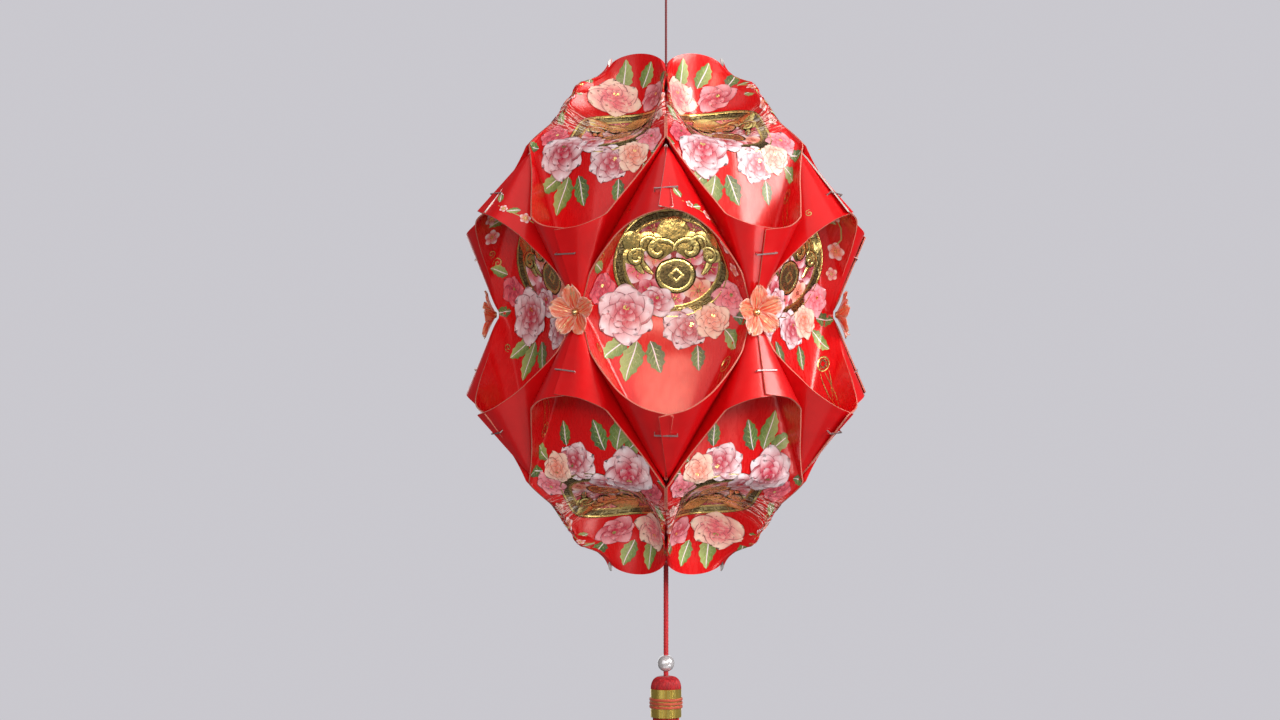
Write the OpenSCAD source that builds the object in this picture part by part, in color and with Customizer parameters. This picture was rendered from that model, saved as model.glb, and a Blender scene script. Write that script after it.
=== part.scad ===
// Red envelope lantern: 18 rolled paper packets on a thread, with blossoms and a tassel.
// The origin is the bearing point inside the hanging loop, the front faces -Y, up is +Z.

/* [Packets] */
// Width of a flat packet
packet_w = 90; // [85:1:92]
// Length of a flat packet
packet_l = 170; // [166:1:172]
// Thickness of a packet with its two layers
paper_t = 0.7; // [0.5:0.1:0.8]
// Clear space that a packet keeps on its side of each joint plane, from its middle surface
joint_clear = 0.45; // [0.45:0.05:0.6]
// Half width of the fold at a packet's pointed tip
tip_half = 0.9; // [0.8:0.1:1.2]

/* [Body] */
// Radius of the joints around the equator
equator_r = 88; // [87:1:89]
// Radius of the upper and lower joints
joint_r = 79; // [78:1:80]
// Height of the upper joints over the equator
joint_z = 85; // [84:1:86]
// Height of the hanging loop over the equator
hang_h = 180; // [176:1:200]

/* [Fittings] */
// Radius of a blossom
blossom_r = 12.5; // [10:0.5:13]
// Radius of the bead in a blossom
blossom_bead_r = 2; // [1.5:0.1:2.5]
// Length of a staple's crown
staple_w = 12; // [10:0.5:13]
// Side of the staple wire
staple_wire = 0.6; // [0.5:0.1:0.8]
// Diameter of the hanging thread
thread_d = 1.1; // [0.8:0.1:1.5]
// Diameter of the tassel cord
cord_d = 2.4; // [2:0.1:3]
// Radius of the knot that carries the packets
knot_r = 8; // [7.5:0.1:8.5]

/* [Tassel] */
// Diameter of the pearl bead
bead_d = 9; // [7:0.2:10]
// Drop of the bead's centre under the equator
bead_drop = 185; // [175:1:195]
// Outer radius of the metal sleeve
sleeve_r = 8.2; // [7.5:0.1:9]
// Length of the metal sleeve
sleeve_l = 15; // [12:0.5:18]
// Length of the skirt of strands
skirt_l = 96; // [80:1:110]
// How far the cord runs on inside the skirt
cord_tail = 55; // [45:1:60]

/* [Hidden] */
COUNT = 6;
STEP = 360 / COUNT;

RED = "#c8101a";
CORAL = "#e8604a";
GOLD = "#d0a848";
STEEL = "#c8c8cc";
PEARL = "#dcdce0";
half_w = packet_w / 2;
half_l = packet_l / 2;
// Hanging loop, from its bearing point down
loop_r = 5;
loop_knot_r = 1.6;
loop_low = 2 * loop_r;
// Height of the support knot's middle over the equator, and how much is cut flat at its poles
knot_z = 104.8;
knot_flat = 0.2;
// Tassel, as depths under the equator
crown_h = 7;
crown_top = bead_drop + bead_d / 2 + 2;
sleeve_top = crown_top + crown_h;
skirt_top = sleeve_top + sleeve_l;
skirt_flare = 1.35;
flute_depth = 0.07;
bore_gap = 0.05;
core_r = sleeve_r - 1;
band_r = 0.5;
flutes = 18;
// A staple: how far its middle is from the cone's tip along the seam, its legs and their bent ends
staple_rho = 32;
staple_leg = 4.6;
staple_bend = 3.4;
seam_angle = 84;
// A blossom: its petals, their points around and its rings, as parts of its radius
petals = 5;
petal_points = 6;
PETAL_RINGS = [0.13, 0.45, 0.75, 1];
blossom_base = 1.3;
blossom_t = 0.5;
blossom_rise = 0.62;
blossom_gap = 0.2;
// Where a rolled cone's flaps cross: the play between them, the way they part, how far from the tip
// the lap starts and is full, and at which angle of the flat packet it starts and is full
lap_gap = 0.2;
LAP_WAY = [0.78, 0.62];
LAP_REACH = [2, 8];
LAP_ANGLE = [56, 76];
// Half width at which a cone's folded tip has its full thickness
tip_reach = 1.6;
// Half length of the stretch over which a packet's lower form turns into its upper one
middle_blend = 22;
// Columns across half a packet and rows along half of one, closer together near the tip
COLUMNS = [for (v = [-1, -0.82, -0.62, -0.42, -0.25, -0.12, -0.036]) v * half_w];
ACROSS = concat(COLUMNS, [0], [for (i = [6:-1:0]) -COLUMNS[i]]);
ALONG = [for (v = [0, 0.045, 0.12, 0.21, 0.32, 0.44, 0.58, 0.72, 0.86]) v * half_l];
ROWS = concat(ALONG, [half_l], [for (i = [8:-1:0]) packet_l - ALONG[i]]);

// Directions from a cone's tip: the angle on the flat packet, then the way it points once rolled
EQUATOR_CONE = [
    [0, [0, -0.13, 0.99]],
    [27.9, [0.46, -0.027, 0.888]],
    [51, [0.44, 0.32, 0.84]],
    [70, [0.235, 0.575, 0.785]],
    [90, [-0.10, 0.67, 0.735]]
];
RING_CONE = [
    [0, [0, -0.176, 0.984]],
    [26, [0.415, -0.175, 0.893]],
    [50, [0.43, 0.11, 0.895]],
    [70, [0.235, 0.335, 0.912]],
    [90, [-0.10, 0.385, 0.918]]
];
// The open end of an upper packet, from its middle row to its end edge:
// distance along the packet, then [out, across, up] at its centre line, halfway and at its side
CROWN = [
    [108, [52, 0, 91], [56, 20, 95], [57.2, 33, 101]],
    [128, [33, 0, 98], [45, 22, 105], [43.3, 25, 113.5]],
    [148, [28, 0, 113], [41, 23, 119], [25.1, 14.5, 112]],
    [170, [29, 0, 136], [30, 16.5, 129.5], [5.5, 2.8, 110.5]]
];

function unit(v) = v / norm(v);
function flip(v) = [-v[0], v[1], v[2]];
function ease(t) = let (c = max(0, min(1, t))) c * c * (3 - 2 * c);
function between(v, range) = ease((v - range[0]) / (range[1] - range[0]));
function blend(a, b, t) = a * (1 - t) + b * t;
function hermite(p, q, mp, mq, t) =
    (2 * t ^ 3 - 3 * t ^ 2 + 1) * p + (t ^ 3 - 2 * t ^ 2 + t) * mp
    + (3 * t ^ 2 - 2 * t ^ 3) * q + (t ^ 3 - t ^ 2) * mq;

// Where a ray of the flat packet points on the rolled cone
function cone_slope(cone, i) =
    i == 0 ? (cone[1][1] - flip(cone[1][1])) / (2 * cone[1][0])
    : i == len(cone) - 1 ? (cone[i][1] - cone[i - 1][1]) / (cone[i][0] - cone[i - 1][0])
    : (cone[i + 1][1] - cone[i - 1][1]) / (cone[i + 1][0] - cone[i - 1][0]);
function cone_dir(cone, angle, i = 0) =
    i < len(cone) - 2 && angle > cone[i + 1][0] ? cone_dir(cone, angle, i + 1)
    : let (
        span = cone[i + 1][0] - cone[i][0],
        t = (angle - cone[i][0]) / span
    ) unit(hermite(
        cone[i][1], cone[i + 1][1], cone_slope(cone, i) * span, cone_slope(cone, i + 1) * span, t
    ));

// A point of the rolled cone from its place on the flat packet: across u, and d from the short edge.
// The left flap lies over the right one where the two cross.
function cone_point(cone, u, d) =
    let (
        rho = norm([u, d]),
        angle = rho == 0 ? 0 : atan2(abs(u), d),
        dir = cone_dir(cone, angle),
        side = sign(u),
        lap = (paper_t + lap_gap) / 2 * between(rho, LAP_REACH) * between(angle, LAP_ANGLE),
        spread = tip_half * min(1, abs(u) / tip_reach)
    ) [
        side * (rho * dir[0] + spread),
        rho * dir[1] - side * lap * LAP_WAY[0],
        rho * dir[2] + side * lap * LAP_WAY[1]
    ];

// The joint planes that part one packet from the next all hold the centre of the body
EQUATOR_JOINT = [equator_r * sin(STEP / 2), equator_r * cos(STEP / 2), 0];
RING_JOINT = [joint_r * sin(STEP / 2), joint_r * cos(STEP / 2), joint_z];
EQUATOR_PLANE = unit(cross([0, joint_r, -joint_z], EQUATOR_JOINT));
RING_PLANE = unit(cross([0, equator_r, 0], RING_JOINT));
SEAM_PLANE = [cos(STEP / 2), -sin(STEP / 2), 0];
function mirrored(n, sx, sz) = [n[0] * sx, n[1], n[2] * sz];
function keep_behind(p, planes, i = 0) =
    i == len(planes) ? p
    : keep_behind(p - max(0, p * planes[i] + joint_clear) * planes[i], planes, i + 1);
EQUATOR_PLANES = [for (sx = [-1, 1], sz = [-1, 1]) mirrored(EQUATOR_PLANE, sx, sz)];
RING_PLANES = [
    for (sx = [-1, 1], n = [RING_PLANE, SEAM_PLANE]) mirrored(n, sx, 1)
];

// Middle surface of an equator packet: a cone at each end, blended over the middle
function equator_point(u, d) =
    let (
        low = [0, joint_r, -joint_z] + cone_point(EQUATOR_CONE, u, d),
        top = [0, joint_r, joint_z]
            + mirrored(cone_point(EQUATOR_CONE, u, packet_l - d), 1, -1),
        share = between(d, [half_l - middle_blend, half_l + middle_blend])
    ) keep_behind(blend(low, top, share), EQUATOR_PLANES);

// Middle surface of an upper packet: a cone at the bottom and the open crown at the top
function crown_row(row, u) =
    let (
        t = abs(u) / half_w,
        at = [row[1], row[2], row[3]],
        even = [for (i = [0, 2])
            let (
                c = (at[2][i] - at[0][i] - 4 * (at[1][i] - at[0][i])) / 0.75,
                b = at[2][i] - at[0][i] - c
            ) at[0][i] + b * t ^ 2 + c * t ^ 4
        ],
        odd_c = (at[2][1] - 2 * at[1][1]) / 0.75
    ) [sign(u) * ((at[2][1] - odd_c) * t + odd_c * t ^ 3), even[0], even[1]];
function ring_cone_point(u, d) = [0, equator_r, 0] + cone_point(RING_CONE, u, d);
CROWN_ROWS = concat([half_l - middle_blend, half_l], [for (row = CROWN) row[0]]);
function crown_knot(i, u) = i < 2 ? ring_cone_point(u, CROWN_ROWS[i]) : crown_row(CROWN[i - 2], u);
function crown_slope(i, u) =
    let (last = len(CROWN_ROWS) - 1, j = min(i + 1, last))
    (crown_knot(j, u) - crown_knot(i - 1, u)) / (CROWN_ROWS[j] - CROWN_ROWS[i - 1]);
function crown_point(u, d, i = 1) =
    i < len(CROWN_ROWS) - 2 && d > CROWN_ROWS[i + 1] ? crown_point(u, d, i + 1)
    : let (
        span = CROWN_ROWS[i + 1] - CROWN_ROWS[i],
        t = (d - CROWN_ROWS[i]) / span
    ) hermite(
        crown_knot(i, u), crown_knot(i + 1, u),
        crown_slope(i, u) * span, crown_slope(i + 1, u) * span, t
    );
function ring_point(u, d) =
    keep_behind(d < half_l ? ring_cone_point(u, d) : crown_point(u, d), RING_PLANES);

// A sheet of paper as one solid on both sides of its middle surface, given as rows of points
module sheet(grid) {
    rows = len(grid);
    cols = len(grid[0]);
    normals = [for (i = [0:rows - 1]) [for (j = [0:cols - 1])
        let (
            along = grid[min(i + 1, rows - 1)][j] - grid[max(i - 1, 0)][j],
            over = grid[i][min(j + 1, cols - 1)] - grid[i][max(j - 1, 0)]
        ) unit(cross(over, along))
    ]];
    function layer(s) = [for (i = [0:rows - 1], j = [0:cols - 1]) grid[i][j] + s * normals[i][j]];
    function at(i, j, s) = (s * rows + i) * cols + j;
    rim = concat(
        [for (j = [0:cols - 2]) [0, j]],
        [for (i = [0:rows - 2]) [i, cols - 1]],
        [for (j = [cols - 1:-1:1]) [rows - 1, j]],
        [for (i = [rows - 1:-1:1]) [i, 0]]
    );
    faces = concat(
        [for (i = [0:rows - 2], j = [0:cols - 2], h = [0, 1])
            h == 0 ? [at(i, j, 0), at(i + 1, j + 1, 0), at(i, j + 1, 0)]
            : [at(i, j, 0), at(i + 1, j, 0), at(i + 1, j + 1, 0)]],
        [for (i = [0:rows - 2], j = [0:cols - 2], h = [0, 1])
            h == 0 ? [at(i, j, 1), at(i, j + 1, 1), at(i + 1, j + 1, 1)]
            : [at(i, j, 1), at(i + 1, j + 1, 1), at(i + 1, j, 1)]],
        [for (k = [0:len(rim) - 1], h = [0, 1])
            let (a = rim[k], b = rim[(k + 1) % len(rim)])
            h == 0 ? [at(a[0], a[1], 0), at(b[0], b[1], 0), at(b[0], b[1], 1)]
            : [at(a[0], a[1], 0), at(b[0], b[1], 1), at(a[0], a[1], 1)]]
    );
    polyhedron(concat(layer(paper_t / 2), layer(-paper_t / 2)), faces);
}

// Places a piece made facing +Y at a bearing from the front, in the body's own height
module around(bearing) {
    translate([0, 0, -hang_h]) rotate([0, 0, 180 + bearing]) children();
}

module packet_equator(k) {
    color(RED) around(STEP * (k - 1))
        sheet([for (d = ROWS) [for (u = ACROSS) equator_point(u, d)]]);
}

module packet_upper(k) {
    color(RED) around(STEP * (k - 0.5))
        sheet([for (d = ROWS) [for (u = ACROSS) ring_point(u, d)]]);
}

module packet_lower(k) {
    color(RED) around(STEP * (k - 0.5)) mirror([0, 0, 1])
        sheet([for (d = ROWS) [for (u = ACROSS) ring_point(u, d)]]);
}

// A blossom sits over the tips that meet behind it, clear of the rims of the equator packets
JOINT_WAY = [sin(STEP / 2), cos(STEP / 2), 0];
RIM_REACH = [for (d = ROWS, u = ACROSS)
    let (p = equator_point(u, d), out = p * JOINT_WAY, off = norm(p - out * JOINT_WAY))
    if (off < blossom_r) out - blossom_rise * off ^ 2 / blossom_r
];
blossom_seat = max(
    equator_r + blossom_base, max(concat([0], RIM_REACH)) + paper_t / 2 + blossom_gap
);

// One lobed cup of petals, its middle at the origin, opening towards +Y
function petal_edge(a) = 0.5 + 0.5 * pow(abs(cos(petals / 2 * a)), 0.6);
function petal_point(t, a) =
    let (r = blossom_r * t * blend(1, petal_edge(a), t))
    [r * sin(a), blossom_rise * r * t, r * cos(a)];

module blossom(k) {
    around_n = petals * petal_points;
    rings = len(PETAL_RINGS);
    function layer(y) = concat(
        [[0, y, 0]],
        [for (t = PETAL_RINGS, j = [0:around_n - 1]) petal_point(t, 360 * j / around_n) + [0, y, 0]]
    );
    size = 1 + rings * around_n;
    function at(i, j, s) = s * size + 1 + i * around_n + j % around_n;
    faces = concat(
        [for (j = [0:around_n - 1]) [0, at(0, j + 1, 0), at(0, j, 0)]],
        [for (j = [0:around_n - 1]) [size, at(0, j, 1), at(0, j + 1, 1)]],
        [for (i = [0:rings - 2], j = [0:around_n - 1], h = [0, 1])
            h == 0 ? [at(i, j, 0), at(i + 1, j + 1, 0), at(i + 1, j, 0)]
            : [at(i, j, 0), at(i, j + 1, 0), at(i + 1, j + 1, 0)]],
        [for (i = [0:rings - 2], j = [0:around_n - 1], h = [0, 1])
            h == 0 ? [at(i, j, 1), at(i + 1, j, 1), at(i + 1, j + 1, 1)]
            : [at(i, j, 1), at(i + 1, j + 1, 1), at(i, j + 1, 1)]],
        [for (j = [0:around_n - 1], h = [0, 1])
            let (i = rings - 1)
            h == 0 ? [at(i, j, 0), at(i, j + 1, 1), at(i, j, 1)]
            : [at(i, j, 0), at(i, j + 1, 0), at(i, j + 1, 1)]]
    );
    color(CORAL) around(STEP * (k - 0.5)) translate([0, blossom_seat, 0])
        polyhedron(concat(layer(blossom_t), layer(0)), faces);
}

// A bead with a flat back, glued in the blossom's middle
module blossom_bead(k) {
    color(GOLD) around(STEP * (k - 0.5))
        translate([0, blossom_seat + blossom_t, 0]) rotate([-90, 0, 0]) difference() {
            translate([0, 0, 0.8 * blossom_bead_r]) sphere(blossom_bead_r, $fn = 32);
            translate([0, 0, -blossom_bead_r]) cylinder(h = blossom_bead_r, r = 2 * blossom_bead_r);
        }
}

// A staple across a seam, its crown outside (+Y) and its legs bent together inside
module staple() {
    w = staple_wire;
    translate([-staple_w / 2, 0, -w / 2]) cube([staple_w, w, w]);
    for (side = [-1, 1]) {
        translate([side * (staple_w - w) / 2 - w / 2, -staple_leg, -w / 2]) cube([w, staple_leg, w]);
        translate([side > 0 ? staple_w / 2 - staple_bend : -staple_w / 2, -staple_leg, -w / 2])
            cube([staple_bend, w, w]);
    }
}

// Places a staple on the seam of a cone that rises from the origin
module on_seam(cone, tilt) {
    dir = cone_dir(cone, seam_angle);
    translate(staple_rho * [0, dir[1], dir[2]]) rotate([-atan2(dir[1], dir[2]), 0, 0])
        translate([0, 0.95 * paper_t + 0.25, 0]) rotate([0, tilt, 0]) staple();
}

module staples() {
    color(STEEL) for (k = [1:COUNT], up = [0, 1]) {
        around(STEP * (k - 1)) mirror([0, 0, up]) translate([0, joint_r, -joint_z])
            on_seam(EQUATOR_CONE, 7 * sin(97 * (2 * k + up)));
        around(STEP * (k - 0.5)) mirror([0, 0, up]) translate([0, equator_r, 0])
            on_seam(RING_CONE, 7 * sin(61 * (2 * k + up)));
    }
}

module hanging_loop() {
    color(RED) {
        translate([0, 0, thread_d / 2 - loop_r]) rotate([90, 0, 0])
            rotate_extrude($fn = 48) translate([loop_r, 0]) circle(d = thread_d, $fn = 16);
        translate([0, 0, -loop_low]) sphere(loop_knot_r, $fn = 24);
    }
}

// The thread runs from the loop's knot to the support knot
module hanging_thread() {
    low = knot_z + knot_r - knot_flat - hang_h;
    color(RED) translate([0, 0, low])
        cylinder(h = -loop_low - loop_knot_r - low, d = thread_d, $fn = 24);
}

// A ball of knotted cord under the inner corners of the upper packets
module support_knot() {
    color(RED) translate([0, 0, knot_z - hang_h]) difference() {
        sphere(knot_r, $fn = 48);
        for (up = [-1, 1]) translate([0, 0, up * knot_r])
            cube([knot_r, knot_r, 2 * knot_flat], center = true);
    }
}

// The cord hangs from the support knot and runs on inside the tassel's bundle
module tassel_cord() {
    low = skirt_top + cord_tail;
    color(RED) translate([0, 0, -low - hang_h])
        cylinder(h = low + knot_z - knot_r + knot_flat, d = cord_d, $fn = 32);
}

module pearl_bead() {
    color(PEARL) translate([0, 0, -bead_drop - hang_h]) difference() {
        sphere(d = bead_d, $fn = 48);
        cylinder(h = 2 * bead_d, d = cord_d + 2 * bore_gap, center = true, $fn = 32);
    }
}

// One bundle of strands, bound around the cord: the crown, the core in the sleeve and the skirt
module tassel_strands() {
    color(RED) translate([0, 0, -hang_h]) difference() {
        union() {
            translate([0, 0, -sleeve_top]) rotate_extrude($fn = 64) polygon(concat(
                [[0, 0]], [for (a = [0:10:90]) [core_r * pow(cos(a), 0.6), crown_h * sin(a)]]
            ));
            translate([0, 0, -skirt_top]) cylinder(h = sleeve_l, r = core_r, $fn = 64);
            translate([0, 0, -skirt_top]) mirror([0, 0, 1]) linear_extrude(skirt_l, scale = skirt_flare)
                polygon([for (i = [0:4 * flutes - 1])
                    let (a = 90 * i / flutes, r = core_r * (1 + flute_depth * cos(flutes * a)))
                    r * [cos(a), sin(a)]]);
        }
        translate([0, 0, -skirt_top - cord_tail])
            cylinder(h = cord_tail + sleeve_l + 2 * crown_h, d = cord_d + 2 * bore_gap, $fn = 32);
    }
}

module tassel_sleeve() {
    color(GOLD) translate([0, 0, -skirt_top - hang_h]) difference() {
        cylinder(h = sleeve_l, r = sleeve_r, $fn = 64);
        translate([0, 0, -1]) cylinder(h = sleeve_l + 2, r = core_r + bore_gap, $fn = 64);
    }
}

// Three turns of red thread around the sleeve
module tassel_bands() {
    color(RED) for (drop = [0.37, 0.5, 0.63] * sleeve_l)
        translate([0, 0, -sleeve_top - drop - hang_h])
            rotate_extrude($fn = 64) translate([sleeve_r + band_r, 0]) circle(band_r, $fn = 16);
}

packet_equator(1);  // packet_equator_1
packet_equator(2);  // packet_equator_2
packet_equator(3);  // packet_equator_3
packet_equator(4);  // packet_equator_4
packet_equator(5);  // packet_equator_5
packet_equator(6);  // packet_equator_6
packet_upper(1);  // packet_upper_1
packet_upper(2);  // packet_upper_2
packet_upper(3);  // packet_upper_3
packet_upper(4);  // packet_upper_4
packet_upper(5);  // packet_upper_5
packet_upper(6);  // packet_upper_6
packet_lower(1);  // packet_lower_1
packet_lower(2);  // packet_lower_2
packet_lower(3);  // packet_lower_3
packet_lower(4);  // packet_lower_4
packet_lower(5);  // packet_lower_5
packet_lower(6);  // packet_lower_6
blossom(1);  // blossom_1
blossom(2);  // blossom_2
blossom(3);  // blossom_3
blossom(4);  // blossom_4
blossom(5);  // blossom_5
blossom(6);  // blossom_6
blossom_bead(1);  // blossom_bead_1
blossom_bead(2);  // blossom_bead_2
blossom_bead(3);  // blossom_bead_3
blossom_bead(4);  // blossom_bead_4
blossom_bead(5);  // blossom_bead_5
blossom_bead(6);  // blossom_bead_6
staples();
hanging_loop();
hanging_thread();
support_knot();
tassel_cord();
pearl_bead();
tassel_strands();
tassel_sleeve();
tassel_bands();
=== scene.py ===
"""Red envelope lantern: the looks of 18 rolled paper packets, their print, blossoms, thread and tassel."""

import math

import bpy
import numpy as np
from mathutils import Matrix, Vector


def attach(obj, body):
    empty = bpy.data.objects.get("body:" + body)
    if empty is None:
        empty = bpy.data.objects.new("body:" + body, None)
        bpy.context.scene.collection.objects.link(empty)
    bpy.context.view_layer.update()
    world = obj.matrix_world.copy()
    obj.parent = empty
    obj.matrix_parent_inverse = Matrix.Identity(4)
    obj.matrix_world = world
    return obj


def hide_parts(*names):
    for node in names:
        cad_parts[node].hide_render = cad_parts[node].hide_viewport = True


MM = 0.001

# Packets, in millimetres, as the part's source has them
PACKET_W = 90.0
PACKET_L = 170.0
HALF_W = PACKET_W / 2
HALF_L = PACKET_L / 2
PAPER_T = 0.7
JOINT_CLEAR = 0.45
TIP_HALF = 0.9
EQUATOR_R = 88.0
JOINT_R = 79.0
JOINT_Z = 85.0
HANG_H = 180.0
COUNT = 6
STEP = 360.0 / COUNT

# Fittings
BLOSSOM_R = 12.5
BLOSSOM_BASE = 1.3
BLOSSOM_RISE = 0.62
THREAD_D = 1.1
CORD_D = 2.4
KNOT_Z = 104.8
KNOT_R = 8.0
KNOT_FLAT = 0.2
LOOP_LOW = 10.0
LOOP_KNOT_R = 1.6
BEAD_D = 9.0
BEAD_DROP = 185.0
SLEEVE_R = 8.2
SLEEVE_L = 15.0
CORE_R = SLEEVE_R - 1
CROWN_H = 7.0
CROWN_TOP = BEAD_DROP + BEAD_D / 2 + 2
SLEEVE_TOP = CROWN_TOP + CROWN_H
SKIRT_TOP = SLEEVE_TOP + SLEEVE_L
SKIRT_L = 96.0
SKIRT_FLARE = 1.35
CORD_TAIL = 55.0

# Directions from a cone's tip: the angle on the flat packet, then the way it points once rolled
EQUATOR_CONE = (
    (0, (0, -0.13, 0.99)),
    (27.9, (0.46, -0.027, 0.888)),
    (51, (0.44, 0.32, 0.84)),
    (70, (0.235, 0.575, 0.785)),
    (90, (-0.10, 0.67, 0.735)),
)
RING_CONE = (
    (0, (0, -0.176, 0.984)),
    (26, (0.415, -0.175, 0.893)),
    (50, (0.43, 0.11, 0.895)),
    (70, (0.235, 0.335, 0.912)),
    (90, (-0.10, 0.385, 0.918)),
)
# The open end: distance along the packet, then out, across and up at its centre, halfway and side
CROWN = (
    (108, (52, 0, 91), (56, 20, 95), (57.2, 33, 101)),
    (128, (33, 0, 98), (45, 22, 105), (43.3, 25, 113.5)),
    (148, (28, 0, 113), (41, 23, 119), (25.1, 14.5, 112)),
    (170, (29, 0, 136), (30, 16.5, 129.5), (5.5, 2.8, 110.5)),
)
SHEET_COLS = 44
SHEET_ROWS = 92


# The rolled packets as surfaces


def unit(v):
    return v / np.linalg.norm(v, axis=-1, keepdims=True)


def ease(t):
    c = np.clip(t, 0, 1)
    return c * c * (3 - 2 * c)


def hermite(p, q, mp, mq, t):
    return (
        (2 * t**3 - 3 * t**2 + 1) * p
        + (t**3 - 2 * t**2 + t) * mp
        + (3 * t**2 - 2 * t**3) * q
        + (t**3 - t**2) * mq
    )


def cone_dir(cone, angle):
    knots = np.array([a for a, _ in cone], float)
    dirs = np.array([d for _, d in cone], float)
    slopes = np.empty_like(dirs)
    slopes[0] = (dirs[1] - dirs[1] * (-1, 1, 1)) / (2 * knots[1])
    slopes[1:-1] = (dirs[2:] - dirs[:-2]) / (knots[2:] - knots[:-2])[:, None]
    slopes[-1] = (dirs[-1] - dirs[-2]) / (knots[-1] - knots[-2])
    i = np.clip(np.searchsorted(knots, angle) - 1, 0, len(cone) - 2)
    span = (knots[i + 1] - knots[i])[..., None]
    t = (angle - knots[i])[..., None] / span
    return unit(hermite(dirs[i], dirs[i + 1], slopes[i] * span, slopes[i + 1] * span, t))


def cone_point(cone, u, d):
    """A point of a rolled cone from its place on the flat packet; the left flap lies over the right."""
    rho = np.hypot(u, d)
    angle = np.degrees(np.arctan2(np.abs(u), d))
    way = cone_dir(cone, angle)
    side = np.sign(u)
    lap = 0.5 * (PAPER_T + 0.2) * ease((rho - 2) / 6) * ease((angle - 56) / 20)
    spread = TIP_HALF * np.minimum(1, np.abs(u) / 1.6)
    return np.stack(
        [
            side * (rho * way[..., 0] + spread),
            rho * way[..., 1] - side * lap * 0.78,
            rho * way[..., 2] + side * lap * 0.62,
        ],
        -1,
    )


def joint_planes():
    half = math.radians(STEP / 2)
    out = np.array([EQUATOR_R * math.sin(half), EQUATOR_R * math.cos(half), 0])
    high = np.array([JOINT_R * math.sin(half), JOINT_R * math.cos(half), JOINT_Z])
    equator = unit(np.cross([0, JOINT_R, -JOINT_Z], out))
    ring = unit(np.cross([0, EQUATOR_R, 0], high))
    seam = np.array([math.cos(half), -math.sin(half), 0])
    signs = [(sx, sz) for sx in (-1, 1) for sz in (-1, 1)]
    return (
        [equator * (sx, 1, sz) for sx, sz in signs],
        [n * (sx, 1, 1) for sx in (-1, 1) for n in (ring, seam)],
    )


EQUATOR_PLANES, RING_PLANES = joint_planes()


def keep_behind(p, planes):
    """Each packet keeps to its own side of the planes that part it from its neighbours."""
    for n in planes:
        p = p - np.maximum(0, p @ n + JOINT_CLEAR)[..., None] * n
    return p


def equator_point(u, d):
    low = cone_point(EQUATOR_CONE, u, d) + (0, JOINT_R, -JOINT_Z)
    top = cone_point(EQUATOR_CONE, u, PACKET_L - d) * (1, 1, -1) + (0, JOINT_R, JOINT_Z)
    share = ease((d - HALF_L + 22) / 44)[..., None]
    return keep_behind(low * (1 - share) + top * share, EQUATOR_PLANES)


def ring_cone_point(u, d):
    return cone_point(RING_CONE, u, d) + (0, EQUATOR_R, 0)


def crown_row(row, u):
    """A row of the open end, through its centre, halfway and side points."""
    t = np.abs(u) / HALF_W
    centre, halfway, side = row[1], row[2], row[3]
    even = []
    for i in (0, 2):
        c = (side[i] - centre[i] - 4 * (halfway[i] - centre[i])) / 0.75
        even.append(centre[i] + (side[i] - centre[i] - c) * t**2 + c * t**4)
    odd = (side[1] - 2 * halfway[1]) / 0.75
    return np.stack([np.sign(u) * ((side[1] - odd) * t + odd * t**3), even[0], even[1]], -1)


def crown_point(u, d):
    rows = [HALF_L - 22, HALF_L] + [row[0] for row in CROWN]
    knots = [ring_cone_point(u, np.full_like(u, r)) for r in rows[:2]]
    knots += [crown_row(row, u) for row in CROWN]
    last = len(rows) - 1
    out = np.zeros(u.shape + (3,))
    for i in range(1, last):
        span = rows[i + 1] - rows[i]
        j = min(i + 2, last)
        start = (knots[i + 1] - knots[i - 1]) / (rows[i + 1] - rows[i - 1])
        end = (knots[j] - knots[i]) / (rows[j] - rows[i])
        t = ((d - rows[i]) / span)[..., None]
        here = (d > rows[i]) & (d <= rows[i + 1])
        out[here] = hermite(knots[i], knots[i + 1], start * span, end * span, t)[here]
    return out


def ring_point(u, d):
    low = ring_cone_point(u, np.minimum(d, HALF_L))
    p = np.where((d <= HALF_L)[..., None], low, crown_point(u, d))
    return keep_behind(p, RING_PLANES)


def surface(kind, u, d):
    """Middle surface and its normal, towards the packet's plain back, at flat places u and d."""
    point = equator_point if kind == "equator" else ring_point
    step = 0.6
    u0, u1 = np.maximum(u - step, -HALF_W), np.minimum(u + step, HALF_W)
    d0, d1 = np.maximum(d - step, 0), np.minimum(d + step, PACKET_L)
    over = point(u1, d) - point(u0, d)
    along = point(u, d1) - point(u, d0)
    return point(u, d), unit(np.cross(over, along))


def place(points, kind, number):
    """From a packet's own frame, facing +Y, to the lantern's, in metres."""
    p = points.copy()
    if kind == "lower":
        p[..., 2] *= -1
    turn = number - 1 if kind == "equator" else number - 0.5
    a = math.radians(180 + STEP * turn)
    x, y = p[..., 0], p[..., 1]
    moved = [x * math.cos(a) - y * math.sin(a), x * math.sin(a) + y * math.cos(a), p[..., 2] - HANG_H]
    return np.stack(moved, -1) * MM


# The print, drawn flat on the packet in millimetres from its middle: x across, y along

WHITE = (0.90, 0.82, 0.87)
BLUSH = (0.86, 0.40, 0.46)
PINK = (0.82, 0.14, 0.19)
MAGENTA = (0.50, 0.007, 0.045)
SALMON = (0.86, 0.24, 0.16)
CREAM = (0.93, 0.74, 0.60)
OUTLINE = (0.16, 0.002, 0.02)
LEAF = (0.11, 0.25, 0.025)
LEAF_PALE = (0.40, 0.52, 0.15)
LEAF_DARK = (0.055, 0.12, 0.022)
GOLD = (0.84, 0.60, 0.20)
GOLD_BRIGHT = (1.0, 0.80, 0.30)
GOLD_OLD = (0.44, 0.33, 0.15)
GOLD_DARK = (0.13, 0.075, 0.025)
GOLD_ROSE = (0.60, 0.30, 0.15)
LAYER = 0.009
FIRST_LAYER = 0.05
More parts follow.
